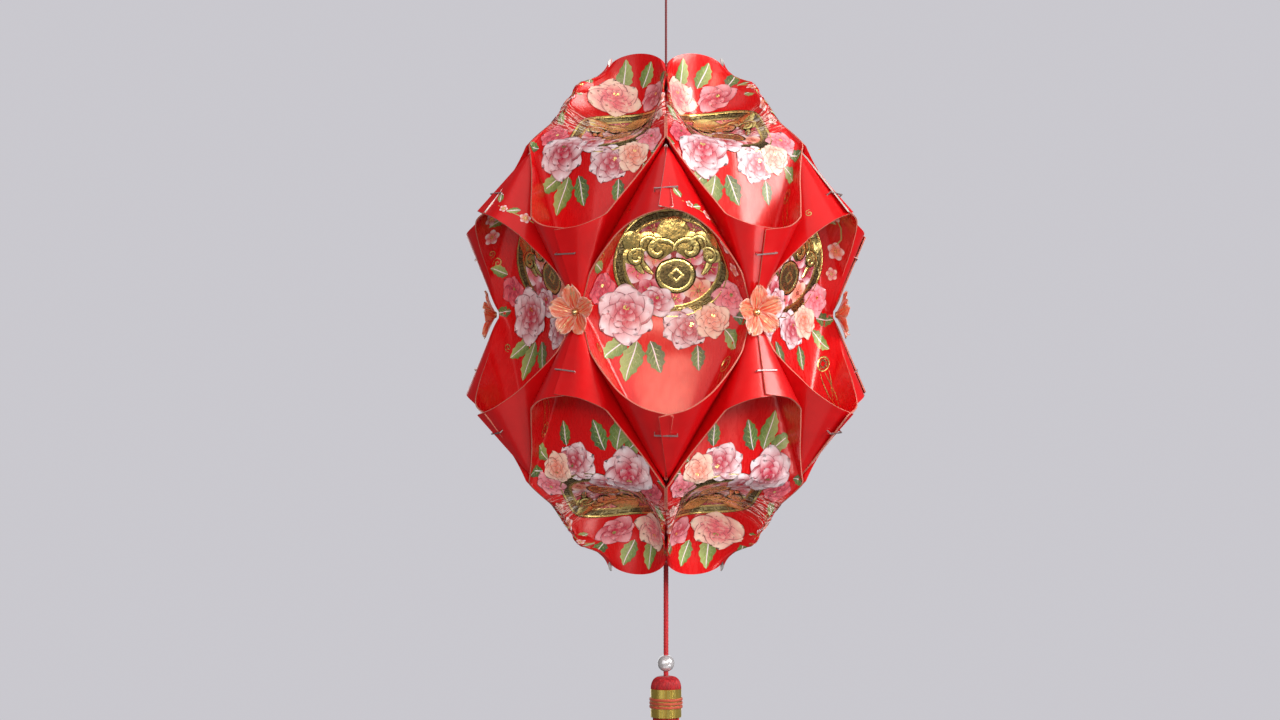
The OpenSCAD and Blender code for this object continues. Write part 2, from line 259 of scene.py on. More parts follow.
# A petal's grid: places along it and across it
FINE_PETAL = ([0, 0.22, 0.42, 0.6, 0.76, 0.89, 0.96, 1], [-1, -0.88, -0.5, 0, 0.5, 0.88, 1])
COARSE_PETAL = ([0, 0.4, 0.7, 0.92, 1], [-1, -0.8, 0, 0.8, 1])
# A peony's rings: reach, number of petals, width, and where their pale part starts
PEONY = (
    (1.0, 6, 1.12, 0.25),
    (0.80, 6, 0.95, 0.34),
    (0.60, 5, 0.95, 0.45),
    (0.40, 4, 0.95, 0.4),
    (0.24, 3, 0.95, 0.3),
)


def turned(x, y, angle, at):
    """Points x, y turned by angle in degrees and moved to at."""
    a = math.radians(angle)
    return np.stack([x * math.cos(a) - y * math.sin(a) + at[0], x * math.sin(a) + y * math.cos(a) + at[1]], -1)


class Print:
    """Flat motifs as small grids of faces with a colour at each corner, printed or in raised foil."""

    def __init__(self):
        self.points, self.colours, self.heights, self.faces, self.foil = [], [], [], [], []
        self.count = 0

    def grid(self, xy, colour, layer, foil=False, rise=0.0):
        """xy and colour are arrays of rows by columns; rise lifts the foil like an embossing die."""
        rows, cols = xy.shape[:2]
        i, j = np.meshgrid(np.arange(rows - 1), np.arange(cols - 1), indexing="ij")
        a = (i * cols + j).ravel() + self.count
        self.faces.append(np.stack([a, a + 1, a + cols + 1, a + cols], -1))
        self.foil.append(np.full(len(a), foil))
        self.points.append(xy.reshape(-1, 2))
        self.colours.append(np.broadcast_to(colour, (rows, cols, 3)).reshape(-1, 3))
        lift = np.broadcast_to(rise, (rows, cols)).reshape(-1)
        self.heights.append(FIRST_LAYER + LAYER * layer + lift)
        self.count += rows * cols

    def petal(
        self, at, angle, length, width, base, tip, layer, start=0.0, notch=0.0, point=0.5, ruffle=0.0,
        foil=False, dome=0.0, tilt=0.0, rim=None,
    ):
        """A petal that grows from at; its colour turns from base to tip after start; tilt in layers."""
        along, across = FINE_PETAL if length > 5 else COARSE_PETAL
        s, t = np.array(along)[:, None], np.array(across)[None, :]
        half = width / 2 * np.sin(np.pi * s**0.75) ** point
        reach = length * s * (1 - notch * np.exp(-((t / 0.28) ** 2)) * s**3)
        reach = reach * (1 + ruffle * np.cos(2.5 * np.pi * t + angle) * s**4)
        x, y = half * t, reach + 0 * t
        xy = turned(x, y, angle, at)
        mix = (ease((s - start) / (1 - start)) * (1 - 0.22 * np.abs(t) ** 2))[..., None]
        colour = np.array(base) * (1 - mix) + np.array(tip) * mix
        if rim is not None:
            colour[1:-2, [0, -1]] = rim
        rise = dome * (1 - t**2) * np.sin(np.pi * s) ** 0.5 + LAYER * tilt * (t + 1) / 2
        self.grid(xy, colour, layer, foil, rise)

    def stroke(self, points, width, colour, layer, foil=True, taper=True, dome=0.0):
        p = np.array(points, float)
        way = np.gradient(p, axis=0)
        way /= np.maximum(np.linalg.norm(way, axis=1, keepdims=True), 1e-9)
        side = np.stack([-way[:, 1], way[:, 0]], -1)
        s = np.linspace(0, 1, len(p))
        thin = np.sin(np.pi * np.clip(s * 0.9 + 0.05, 0, 1)) ** 0.5 if taper else np.ones(len(p))
        half = width / 2 * thin
        t = np.linspace(-1, 1, 5 if dome else 2)
        xy = p[:, None] + side[:, None] * (half[:, None] * t)[..., None]
        self.grid(xy, colour, layer, foil, dome * (1 - t**2)[None, :])

    def ring(self, at, inner, outer, colour, layer, foil=True, n=72, cols=3, lobes=0, depth=0.0, dome=0.0):
        a = np.linspace(0, 2 * np.pi, n + 1)[:, None]
        t = np.linspace(0, 1, cols)[None, :]
        r = inner + (outer * (1 + depth * np.cos(lobes * a)) - inner) * t
        xy = np.stack([at[0] + r * np.cos(a), at[1] + r * np.sin(a)], -1)
        self.grid(xy, colour, layer, foil, dome * np.sin(np.pi * t))

    def leaf(self, at, angle, length, layer, dark=False, lean=0.12):
        """A serrated leaf, dark on one half and pale on the other, with white veins."""
        s = np.linspace(0, 1, 12)[:, None]
        t = np.linspace(-1, 1, 5)[None, :]
        saw = 1 + 0.16 * np.sin(9 * np.pi * s) * np.abs(t)
        half = length * 0.25 * np.sin(np.pi * s**0.85) ** 0.9 * saw
        x, y = half * t + lean * length * np.sin(np.pi * s / 2) ** 2, length * s + 0 * t
        xy = turned(x, y, angle, at)
        left, right = (LEAF_DARK, LEAF) if dark else (LEAF, LEAF_PALE)
        across = ((t + 1) / 2)[..., None]
        colour = np.array(left) * (1 - across) + np.array(right) * across + 0 * s[..., None]
        colour = colour * (0.62 + 0.5 * s[..., None])
        self.grid(xy, colour, layer)
        a = math.radians(angle)
        way = np.array([-math.sin(a), math.cos(a)])
        side = np.array([way[1], -way[0]])

        def on(u, v):
            return np.array(at) + way * length * v + side * length * (u + lean * math.sin(math.pi * v / 2) ** 2)

        for k in (-1, 1):
            for v in (0.2, 0.36, 0.52, 0.68):
                reach = 0.16 * (1.15 - v)
                vein = [on(0, v), on(k * reach * 0.5, v + 0.09), on(k * reach, v + 0.15)]
                self.stroke(vein, 0.32, LEAF_PALE, layer + 1, foil=False)
        self.stroke([on(0, v) for v in np.linspace(0.0, 0.97, 8)], 0.6, WHITE, layer + 2, foil=False)

    def plum(self, at, radius, turn, layer, base=SALMON, tip=WHITE):
        for k in range(5):
            self.petal(
                at, turn + 72 * k, radius, radius, base, tip, layer, start=0.35, notch=0.1, tilt=4, rim=MAGENTA
            )
        self.ring(at, 0, radius * 0.2, MAGENTA, layer + 5, foil=False, n=10, cols=2)
        for k in range(7):
            a = math.radians(turn + 51.4 * k)
            end = np.array(at) + radius * 0.52 * np.array([math.cos(a), math.sin(a)])
            self.stroke([at, end], 0.3, GOLD_BRIGHT, layer + 6, taper=False)

    def peony(self, at, radius, turn, layer, base, tip, seed=0, full=True):
        """Cupped rings of ruffled petals, deep at their feet and pale at their rims."""
        rng = np.random.default_rng(seed)
        foot = np.array(at, float)
        base, tip = np.array(base), np.array(tip)
        for i, (reach, petals, wide, start) in enumerate(PEONY if full else PEONY[:1] + PEONY[2:4]):
            for k in range(petals):
                angle = turn + 360 * (k + 0.5 * i) / petals + rng.uniform(-9, 9)
                r = radius * reach * rng.uniform(0.88, 1.08)
                self.petal(
                    foot, angle, r, r * wide, base, tip + 0.15 * i * (base - tip), layer + 5 * i,
                    start=start, notch=0.12, ruffle=0.06, tilt=4, rim=OUTLINE,
                )
            a = math.radians(turn)
            foot = foot + radius * 0.06 * np.array((math.sin(a), math.cos(a)))
        self.ring(foot, 0, radius * 0.10, GOLD_BRIGHT, layer + 22, n=10, cols=2)

    def scroll(self, at, size, turn, layer, colour, hand=1, width=0.7, turns=1.5, dome=0.0):
        """A cloud curl: a spiral with a tail."""
        a = np.linspace(0, 2 * np.pi * turns, 22)
        r = size * (0.12 + 0.88 * (a / a[-1]) ** 1.2)
        angle = math.radians(turn) + hand * a
        line = np.stack([at[0] + r * np.cos(angle), at[1] + r * np.sin(angle)], -1)
        self.stroke(line, width, colour, layer, dome=dome)

    def cloud(self, at, size, turn, layer):
        """A ruyi cloud head in polished foil: three lobes over two curls."""
        for angle, reach, wide in ((-66, 0.92, 0.9), (66, 0.92, 0.9), (0, 1.12, 1.0)):
            self.petal(
                at, turn + angle, size * reach, size * wide, GOLD, GOLD_BRIGHT, layer,
                point=0.42, foil=True, dome=0.6, rim=GOLD_DARK,
            )
        for hand in (-1, 1):
            a = math.radians(turn)
            foot = np.array(at) + size * 0.42 * np.array((hand * math.cos(a), hand * math.sin(a)))
            start = turn + (180 if hand > 0 else 0)
            self.scroll(foot, size * 0.46, start, layer + 62, GOLD_DARK, hand, size * 0.26, 1.0)
            self.scroll(foot, size * 0.46, start, layer + 64, GOLD_BRIGHT, hand, size * 0.17, 1.0, dome=0.15)

    def fret(self, at, radius, height, count, layer, colour):
        """Square key marks around a ring."""
        for k in range(count):
            def on(u, v):
                a = 2 * np.pi * (k + u) / count
                r = radius + v * height
                return at[0] + r * math.cos(a), at[1] + r * math.sin(a)

            marks = ((0.08, 0), (0.08, 1), (0.85, 1), (0.85, 0.2), (0.38, 0.2), (0.38, 0.62), (0.62, 0.62))
            self.stroke([on(u, v) for u, v in marks], 0.55, colour, layer, taper=False)

    def coin(self, at, radius, layer):
        """A round coin with a square hole."""
        self.ring(at, radius * 0.80, radius, GOLD, layer, n=40, cols=3, dome=0.12)
        self.ring(at, radius * 0.44, radius * 0.72, GOLD_ROSE, layer, n=4, cols=2)
        for k in range(4):
            a = math.radians(90 * k)
            dot = (at[0] + radius * 0.62 * math.cos(a + 0.785), at[1] + radius * 0.62 * math.sin(a + 0.785))
            self.ring(dot, 0, radius * 0.1, GOLD_BRIGHT, layer + 1, n=8, cols=2)

    def medallion(self, at, radius, layer):
        """A key-patterned foil ring around a coin, with clouds over it."""
        at = np.array(at, float)
        self.ring(at, 0, radius * 0.80, (0.36, 0.022, 0.03), layer, foil=False, cols=11)
        for x, y, size, turn, step, base, tip in (
            (-0.56, -0.12, 0.29, 10, 0, PINK, WHITE), (-0.36, -0.52, 0.25, 40, 1, MAGENTA, BLUSH),
            (0.02, -0.66, 0.20, 5, 0, PINK, WHITE), (0.42, -0.52, 0.25, 25, 1, SALMON, CREAM),
            (0.60, -0.10, 0.27, 50, 0, MAGENTA, WHITE), (0.28, 0.12, 0.24, 15, 1, PINK, WHITE),
            (-0.26, 0.10, 0.22, 60, 1, SALMON, WHITE), (-0.30, 0.60, 0.20, 30, 0, MAGENTA, BLUSH),
            (0.34, 0.60, 0.20, 0, 0, PINK, CREAM),
        ):
            self.plum(at + (x * radius, y * radius), size * radius, turn, layer + 1 + 7 * step, base, tip)
        self.ring(at, radius * 0.78, radius * 1.01, GOLD_DARK, layer + 17, cols=4)
        self.ring(at, radius * 0.80, radius * 0.98, GOLD_OLD, layer + 19, cols=4)
        self.ring(at, radius * 0.955, radius * 1.0, GOLD, layer + 20, cols=4, dome=0.12)
        self.ring(at, radius * 0.775, radius * 0.82, GOLD, layer + 20, cols=4, dome=0.12)
        self.fret(at, radius * 0.845, radius * 0.09, 24, layer + 22, GOLD_DARK)
        hub = at + (0.05 * radius, -0.24 * radius)
        self.ring(hub, 0, radius * 0.33, GOLD_DARK, layer + 18, n=48, cols=6)
        self.ring(hub, 0, radius * 0.30, GOLD_OLD, layer + 20, n=48, cols=6)
        self.ring(hub, radius * 0.24, radius * 0.30, GOLD_BRIGHT, layer + 21, n=48, cols=4, dome=0.22)
        self.ring(hub, radius * 0.08, radius * 0.14, GOLD_BRIGHT, layer + 21, n=4, cols=4, dome=0.2)
        for x, y, size, turn in ((-0.46, 0.20, 0.42, 48), (0.50, 0.22, 0.40, -50), (0.02, 0.22, 0.56, 2)):
            self.cloud(at + (x * radius, y * radius), size * radius, turn, layer + 24)
        for sweep, reach, width in ((172, 0.60, 2.8), (186, 0.50, 2.2), (6, 0.62, 2.6)):
            a = np.radians(np.linspace(sweep, sweep + (46 if sweep > 90 else -46), 12))
            line = at + radius * np.stack([reach * np.cos(a), (reach - 0.1) * np.sin(a) + 0.1], -1)
            self.stroke(line, width + 0.8, GOLD_DARK, layer + 21)
            self.stroke(line, width, GOLD_BRIGHT, layer + 22, dome=0.4)

    def arrays(self):
        xy = np.concatenate(self.points) * (-1, 1)
        faces = np.concatenate(self.faces)[:, ::-1]
        return xy, np.concatenate(self.colours), np.concatenate(self.heights), faces, np.concatenate(self.foil)


def face_print():
    """The printed face: a foil medallion over a spray of peonies, plain red below it."""
    p = Print()
    p.medallion((3, 25), 27.5, 0)
    for x, y, angle, length, dark in (
        (-13, -14, 172, 21, False), (-17, -12, 136, 18, False), (-7, -14, 205, 17, True),
        (27, -8, 228, 16, False), (31, -2, 268, 15, True), (-35, 2, 96, 14, True),
        (-33, 22, 60, 13, False), (14, -16, 190, 13, True),
    ):
        p.leaf((x, y), angle, length, 12, dark)
    p.peony((30, 7), 9.5, 20, 27, PINK, BLUSH, seed=3, full=False)
    p.peony((9, -8), 11, 50, 27, MAGENTA, WHITE, seed=5)
    p.peony((21, -4), 9, 10, 40, SALMON, CREAM, seed=6)
    p.peony((-31, 12), 8.5, 40, 27, MAGENTA, PINK, seed=8, full=False)
    p.peony((-4, 6), 8, 15, 40, MAGENTA, WHITE, seed=9, full=False)
    p.peony((-18, -2), 14.5, 0, 55, MAGENTA, WHITE, seed=1)
    p.coin((31, -27), 4.6, 20)
    for shift in (-1.4, 0, 1.6):
        ways = np.linspace(0, 1, 14)
        tail = [(31 + shift * 0.6 * s + 3 * math.sin(2.2 * s + shift), -32 - 26 * s) for s in ways]
        p.stroke(tail, 0.55, GOLD, 20)
    for x, y, size, turn, hand in (
        (-38, 31, 3.4, 0, 1), (-40, 38, 2.5, 60, -1), (38, 22, 2.8, 200, -1), (-34, -18, 2.6, 120, 1),
        (-30, 70, 3.0, 30, 1), (26, 72, 3.0, 200, -1), (32, 68, 2.4, 150, 1),
    ):
        p.scroll((x, y), size, turn, 20, GOLD, hand)
    p.plum((37, 38), 5.6, 10, 22)
    p.plum((-37, 48), 4.8, 45, 22, PINK, WHITE)
    p.plum((38, 24), 4.0, 30, 22, PINK, CREAM)
    p.stroke([(36, 41), (38, 47), (36, 54), (31, 59)], 0.9, LEAF_PALE, 21, foil=False)
    p.plum((30, 59), 4.4, 33, 22)
    for x, y, angle, length, dark in (
        (-7, 66, 8, 17, False), (-22, 64, 48, 15, True), (15, 66, 320, 15, True), (2, 68, 340, 15, False),
        (-25, 55, 96, 12, False), (22, 57, 262, 11, False),
    ):
        p.leaf((x, y), angle, length, 12, dark)
    p.peony((10, 61), 8.5, 30, 18, MAGENTA, BLUSH, seed=13, full=False)
    p.peony((-11, 60), 12.5, 15, 34, PINK, CREAM, seed=11)
    p.plum((-34, 60), 4.6, 20, 18, PINK, WHITE)
    return p.arrays()


def back_print():
    """The plain back: a sparse trail of small blossoms and a few foil curls."""
    p = Print()
    trail = [(35 + 3 * math.sin(0.11 * y), y) for y in np.linspace(8, 74, 20)]
    p.stroke(trail, 0.6, LEAF_PALE, 0, foil=False)
    for k, y in enumerate((14, 30, 43, 58, 70)):
        p.plum((35 + 3 * math.sin(0.11 * y), y), (2.6, 3.6, 2.4, 3.2, 2.2)[k], 20 * k, 4)
        p.leaf((33 + 3 * math.sin(0.11 * y), y + 5), 60 - 100 * (k % 2), 7, 1)
    p.coin((-30, 44), 4.2, 0)
    for x, y, size, turn in ((-30, 55, 3.2, 0), (-26, 60, 2.4, 120), (-34, 61, 2.2, 230)):
        p.scroll((x, y), size, turn, 0, GOLD, 1, 0.5)
    return p.arrays()


# Meshes


def new_object(name, verts, faces, materials, indices=None, smooth=True):
    mesh = bpy.data.meshes.new(name)
    mesh.from_pydata(verts.tolist() if hasattr(verts, "tolist") else verts, [], faces)
    for m in materials:
        mesh.materials.append(m)
    if indices is not None:
        mesh.polygons.foreach_set("material_index", np.asarray(indices, np.int32))
    mesh.polygons.foreach_set("use_smooth", np.full(len(mesh.polygons), smooth))
    mesh.update()
    piece = bpy.data.objects.new(name, mesh)
    bpy.context.scene.collection.objects.link(piece)
    return piece


def add_colours(mesh, colours):
    layer = mesh.color_attributes.new("Ink", "FLOAT_COLOR", "POINT")
    rgba = np.ones((len(colours), 4), np.float32)
    rgba[:, :3] = colours
    layer.data.foreach_set("color", rgba.ravel())


def add_flat(mesh, flat):
    """Each point's place on the flat packet, in millimetres, for the paper's own patterns."""
    layer = mesh.attributes.new("flat", "FLOAT_VECTOR", "POINT")
    layer.data.foreach_set("vector", np.asarray(flat, np.float32).ravel())


def mouth(kind, u, d):
    """How far the two paper layers stand apart, past their own thickness, at a packet's open end."""
    if kind == "equator":
        return np.zeros_like(u)
    side = np.exp(-(((u - 26) / 11) ** 2)) + 0.5 * np.exp(-(((u + 20) / 9) ** 2))
    return 1.5 * side * ease((d - 152) / 18)


def crumple(kind, d):
    """How strongly the paper is creased: most in the hollow of an open end."""
    return 0 * d if kind == "equator" else np.exp(-(((d - 114) / 12) ** 2))


def packet(kind, number, prints, materials):
    """One packet: a printed face, a plain back, pale cut edges and the print on both."""
    shape = "equator" if kind == "equator" else "ring"
    flip = -1 if kind == "lower" else 1
    s = np.linspace(-1, 1, SHEET_COLS + 1)
    us = HALF_W * (0.72 * s + 0.28 * s**3)
    ends = np.linspace(0, 1, SHEET_ROWS + 1)
    ds = PACKET_L * (ends - 0.045 * np.sin(2 * np.pi * ends))
    u, d = np.meshgrid(us, ds)
    mid, normal = surface(shape, u, d)
    gap = mouth(kind, u, d)[..., None]
    face = mid - normal * (PAPER_T / 2)
    back = mid + normal * (PAPER_T / 2 + gap)
    rows, cols = u.shape
    size = rows * cols
    i, j = np.meshgrid(np.arange(rows - 1), np.arange(cols - 1), indexing="ij")
    a = (i * cols + j).ravel()
    quads = np.stack([a, a + cols, a + cols + 1, a + 1], -1)
    rim = (
        [k for k in range(cols)]
        + [k * cols + cols - 1 for k in range(1, rows)]
        + [(rows - 1) * cols + k for k in range(cols - 2, -1, -1)]
        + [k * cols for k in range(rows - 2, 0, -1)]
    )
    edge = [(p, q, q + size, p + size) for p, q in zip(rim, rim[1:] + rim[:1])]
    if kind == "lower":
        back_quads, face_quads = quads[:, ::-1] + size, quads
        edge = [e[::-1] for e in edge]
    else:
        face_quads, back_quads = quads, quads[:, ::-1] + size
    points = [face.reshape(-1, 3), back.reshape(-1, 3)]
    flats = [np.stack([u * flip, d, crumple(kind, d)], -1).reshape(-1, 3)] * 2
    colours = [np.full((2 * size, 3), 0.5)]
    faces = face_quads.tolist() + back_quads.tolist() + edge
    index = [0] * len(quads) + [1] * len(quads) + [2] * len(edge)
    total = 2 * size
    for (xy, ink, height, quads_, foil), outward in zip(prints, (-1, 1)):
        pu = np.clip(xy[:, 0] * flip, -HALF_W + 0.2, HALF_W - 0.2)
        pd = np.clip(xy[:, 1] + HALF_L, 0.2, PACKET_L - 0.2)
        at, n = surface(shape, pu, pd)
        lift = PAPER_T / 2 + height + (mouth(kind, pu, pd) if outward > 0 else 0)
        points.append(at + outward * n * lift[:, None])
        flats.append(np.stack([xy[:, 0], pd, crumple(kind, pd)], -1))
        colours.append(ink)
        faces += (quads_ + total).tolist()
        index += np.where(foil, 4, 3).tolist()
        total += len(xy)
    verts = place(np.concatenate(points), kind, number)
    piece = new_object(f"packet_{kind}_{number}_paper", verts, faces, materials, index)
    mesh = piece.data
    add_colours(mesh, np.concatenate(colours))
    add_flat(mesh, np.concatenate(flats))
    sharp = {tuple(sorted(e)) for p, q in zip(rim, rim[1:] + rim[:1]) for e in ((p, q), (p + size, q + size))}
    for e in mesh.edges:
        if tuple(sorted(e.vertices)) in sharp:
            e.use_edge_sharp = True
    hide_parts(f"packet_{kind}_{number}")
    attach(piece, "root")
    return piece


def blossom(number, material):
    """Five long, overlapping petals of thin film with ruffled, notched ends."""
    rows, cols = 16, 17
    points, faces, flats, inks = [], [], [], []
    for k in range(5):
        s = np.linspace(0, 1, rows)[:, None]
        t = np.linspace(-1, 1, cols)[None, :]
        phase = 5 * k + 2.3 * number
        length = BLOSSOM_R * (1.05 + 0.05 * math.sin(phase))
        half = 5.3 * np.sin(np.pi * np.clip(0.07 + s**1.25 * 0.84, 0, 1)) ** 0.8
        edge = 1 - 0.10 * np.exp(-((t / 0.2) ** 2)) + 0.035 * np.cos(5 * np.pi * t + phase) - 0.06 * t**4
        reach = length * (0.05 + 0.95 * s * (1 + (edge - 1) * s**3))
        across = half * t * (1 + 0.05 * np.cos(9 * s + phase) * s)
        r = np.hypot(reach, across)
        lift = BLOSSOM_RISE * r * (0.8 + 0.2 * (1 - s)) + 0.3 * (1 - s) + 0.85 * (t**2 - 0.35) * s
        lift += (0.34 * np.cos(3.5 * np.pi * t + phase) + 0.12 * np.cos(9 * np.pi * t)) * s**2.5 + 0.5 * t * s
        a = math.radians(72 * k + 9 * math.sin(number * 2.1))
        x = across * math.cos(a) + reach * math.sin(a)
        z = reach * math.cos(a) - across * math.sin(a)
        y = EQUATOR_R + BLOSSOM_BASE + 0.3 + lift
        start = sum(len(p) for p in points)
        points.append(np.stack([x, y + 0 * x, z], -1).reshape(-1, 3))
        flats.append(np.stack([across, reach + 0 * across, 0 * across + k + 7 * number], -1).reshape(-1, 3))
        i, j = np.meshgrid(np.arange(rows - 1), np.arange(cols - 1), indexing="ij")
        q = (i * cols + j).ravel() + start
        faces += np.stack([q, q + 1, q + cols + 1, q + cols], -1).tolist()
        rim = np.maximum(np.abs(t) ** 4, s**6) + 0 * s
        inks.append(np.stack([0 * t + s, rim, 0 * rim], -1).reshape(-1, 3))
    verts = place(np.concatenate(points), "upper", number)
    piece = new_object(f"blossom_{number}_petals", verts, faces, [material])
    add_flat(piece.data, np.concatenate(flats))
    add_colours(piece.data, np.concatenate(inks))
    shell = piece.modifiers.new("film", "SOLIDIFY")
    shell.thickness = 0.25 * MM
    shell.offset = 0
    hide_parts(f"blossom_{number}")
    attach(piece, "root")
    return piece


def twisted_cord(name, top, bottom, diameter, pitch, material, lobes=3):
    """A straight cord of twisted plies, from top to bottom on the axis, in millimetres."""
    around = 8 * lobes
    rows = max(40, int((top - bottom) / pitch * 9))
    z = np.linspace(top, bottom, rows)[:, None]
    a = np.linspace(0, 2 * np.pi, around, endpoint=False)[None, :]
    twist = 2 * np.pi * (top - z) / pitch
    ply = np.abs(np.cos(lobes / 2 * (a - twist)))
    r = diameter / 2 * (0.96 + 0.17 * ply**0.7)
    verts = np.stack([r * np.cos(a), r * np.sin(a), z - HANG_H + 0 * a], -1).reshape(-1, 3) * MM
    faces = []
    for i in range(rows - 1):
        for j in range(around):
            k = (j + 1) % around
            faces.append((i * around + j, (i + 1) * around + j, (i + 1) * around + k, i * around + k))
    faces.append(list(range(around)))
    faces.append(list(range((rows - 1) * around, rows * around))[::-1])
    piece = new_object(name, verts, faces, [material])
    path = [(0, 0, (zz - HANG_H) * MM) for zz in np.linspace(top, bottom, 24)]
    return piece, path


def strands(materials):
    """The tassel: strands folded over the cord's end, gathered in the sleeve, hanging in a skirt."""
    rng = np.random.default_rng(4)
    points, faces = [], []
    total = 0

    def tube(line, radius, sides=5):
        nonlocal total
        line = np.array(line)
        way = unit(np.gradient(line, axis=0))
        side = unit(np.cross(way, [0.3, 0.9, 0.1]))
        other = np.cross(way, side)
        a = np.linspace(0, 2 * np.pi, sides, endpoint=False)
        around = side[:, None] * np.cos(a)[:, None] + other[:, None] * np.sin(a)[:, None]
        ring = line[:, None] + radius * around
        points.append(ring.reshape(-1, 3))
        for i in range(len(line) - 1):
            for j in range(sides):
                k = (j + 1) % sides
                p = total + i * sides
                faces.append((p + j, p + k, p + sides + k, p + sides + j))
        faces.append([total + j for j in range(sides)][::-1])
        faces.append([total + (len(line) - 1) * sides + j for j in range(sides)])
        total += len(line) * sides

    crown_n = 96
    for k in range(crown_n):
        a = 2 * np.pi * (k + rng.uniform(-0.2, 0.2)) / crown_n
        line = []
        for t in np.linspace(0, 1, 9):
            h = math.radians(90 * (1 - t))
            r = max(1.5, (SLEEVE_R - 0.35) * math.cos(h) ** 0.5)
            z = -SLEEVE_TOP + (CROWN_H - 0.6) * math.sin(h)
            line.append((r * math.cos(a), r * math.sin(a), z - 0.6 * (t == 1)))
        tube(line, 0.30)
    skirt_n = 330
    for k in range(skirt_n):
        a = k * 2.399963
        share = math.sqrt((k + 0.5) / skirt_n)
        length = SKIRT_L * rng.uniform(0.985, 1.0) - 0.4
        wander, phase = rng.uniform(0.1, 0.5), rng.uniform(0, 6.28)
        line = []
        for t in np.linspace(0, 1, 13):
            r = (CORE_R - 0.5) * share * (1 + (SKIRT_FLARE - 1) * t)
            b = a + 0.05 * math.sin(3 * t + phase)
            x = r * math.cos(b) + wander * t * math.sin(7 * t + phase)
            y = r * math.sin(b) + wander * t * math.cos(6 * t + phase)
            line.append((x, y, -SKIRT_TOP - length * t + 0.4))
        tube(line, 0.36)
    verts = (np.concatenate(points) - (0, 0, HANG_H)) * MM
    piece = new_object("tassel_strands_threads", verts, faces, materials)
    core = core_bundle(materials)
    for o in (piece, core):
        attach(o, "root")
    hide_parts("tassel_strands")
    return [piece, core]


def bands(material):
    """Three turns of twisted thread, pressed flat against the sleeve."""
    points, faces = [], []
    around, sides = 240, 10
    a = np.linspace(0, 2 * np.pi, around, endpoint=False)[:, None]
    b = np.linspace(0, 2 * np.pi, sides, endpoint=False)[None, :]
    for turn, share in enumerate((0.37, 0.5, 0.63)):
        swell = 1 + 0.12 * np.cos(2 * b - 60 * a)
        r = SLEEVE_R + 0.30 + 0.36 * swell * np.cos(b)
        z = -SLEEVE_TOP - SLEEVE_L * share + 0.76 * swell * np.sin(b)
        points.append(np.stack([r * np.cos(a), r * np.sin(a), z - HANG_H], -1).reshape(-1, 3))
        for i in range(around):
            for j in range(sides):
                p, q = i * sides, (i + 1) % around * sides
                k = (j + 1) % sides
                faces.append(tuple(turn * around * sides + v for v in (p + j, q + j, q + k, p + k)))
    piece = new_object("tassel_bands_thread", np.concatenate(points) * MM, faces, [material])
    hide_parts("tassel_bands")
    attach(piece, "root")
    return piece


def core_bundle(materials):
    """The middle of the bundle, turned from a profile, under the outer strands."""
    profile = [(1.3, -CROWN_TOP - 0.9)]
    for h in np.radians(range(80, -1, -10)):
        r = max(1.3, (SLEEVE_R - 0.6) * math.cos(h) ** 0.5)
        profile.append((r, -SLEEVE_TOP + (CROWN_H - 0.8) * math.sin(h)))
    profile += [(CORE_R - 0.2, -SLEEVE_TOP - 1), (CORE_R - 0.2, -SKIRT_TOP), (CORE_R - 1.0, -SKIRT_TOP - 2)]
    for t in np.linspace(0.1, 1, 8):
        profile.append(((CORE_R - 1.4) * (1 + 0.3 * t), -SKIRT_TOP - SKIRT_L * 0.97 * t))
    return lathe("tassel_core", profile, materials, 48)


def lathe(name, profile, materials, around):
    a = np.linspace(0, 2 * np.pi, around, endpoint=False)
    verts = [(r * math.cos(t) * MM, r * math.sin(t) * MM, (z - HANG_H) * MM) for r, z in profile for t in a]
    faces = []
    for i in range(len(profile) - 1):
        for j in range(around):
            k = (j + 1) % around
            faces.append((i * around + j, (i + 1) * around + j, (i + 1) * around + k, i * around + k))
    faces.append(list(range(around)))
    faces.append(list(range((len(profile) - 1) * around, len(profile) * around))[::-1])
    return new_object(name, verts, faces, materials)


# Materials


